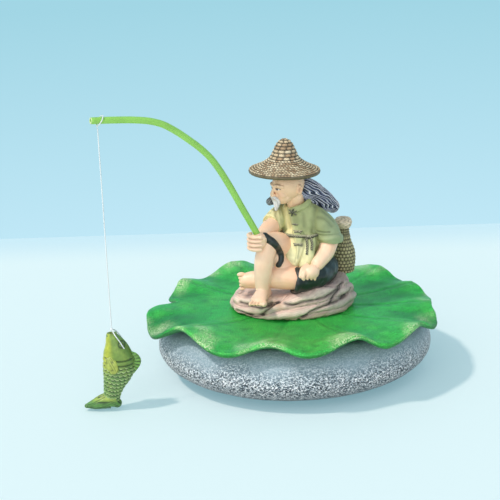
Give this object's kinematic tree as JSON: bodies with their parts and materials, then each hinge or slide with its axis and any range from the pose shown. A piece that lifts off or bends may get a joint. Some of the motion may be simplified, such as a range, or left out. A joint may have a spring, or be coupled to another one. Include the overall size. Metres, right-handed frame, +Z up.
{
  "type": "floating fisherman figurine",
  "caption": "Seated angler in a straw hat on a rock and a lotus leaf that rides on a round float; a bent rod holds a line with a hanging fish.",
  "frame": {"origin": "centre of the float's flat underside", "axes": "+Z up, -Y towards the front of the ornament, -X towards the side that the rod points to"},
  "size_m": [0.189, 0.1595, 0.1582],
  "materials": {
    "float_stone": "resin painted as speckled grey stone",
    "leaf_green": "resin painted glossy green, with a fine leathery grain",
    "painted_figure": "hand-painted resin, satin",
    "rod_green": "smooth green plastic tube",
    "thread": "thin white nylon thread",
    "fish_green": "resin painted yellow-green with dark washed scales"
  },
  "bodies": {
    "ornament": {"float_base": "float_stone", "lotus_leaf": "leaf_green", "fisherman": "painted_figure", "fishing_rod": "rod_green"},
    "hanging_fish": {"line_tie": "thread", "fishing_line": "thread", "fish_loop": "thread", "fish": "fish_green"}
  },
  "joints": [
    {"name": "fish_swing", "type": "hinge", "parent": "ornament", "child": "hanging_fish", "pos_m": [-0.09739, -0.05695, 0.15571], "axis": [-0.9068, -0.4133, 0.083], "range_deg": [-45, 45]}
  ]
}
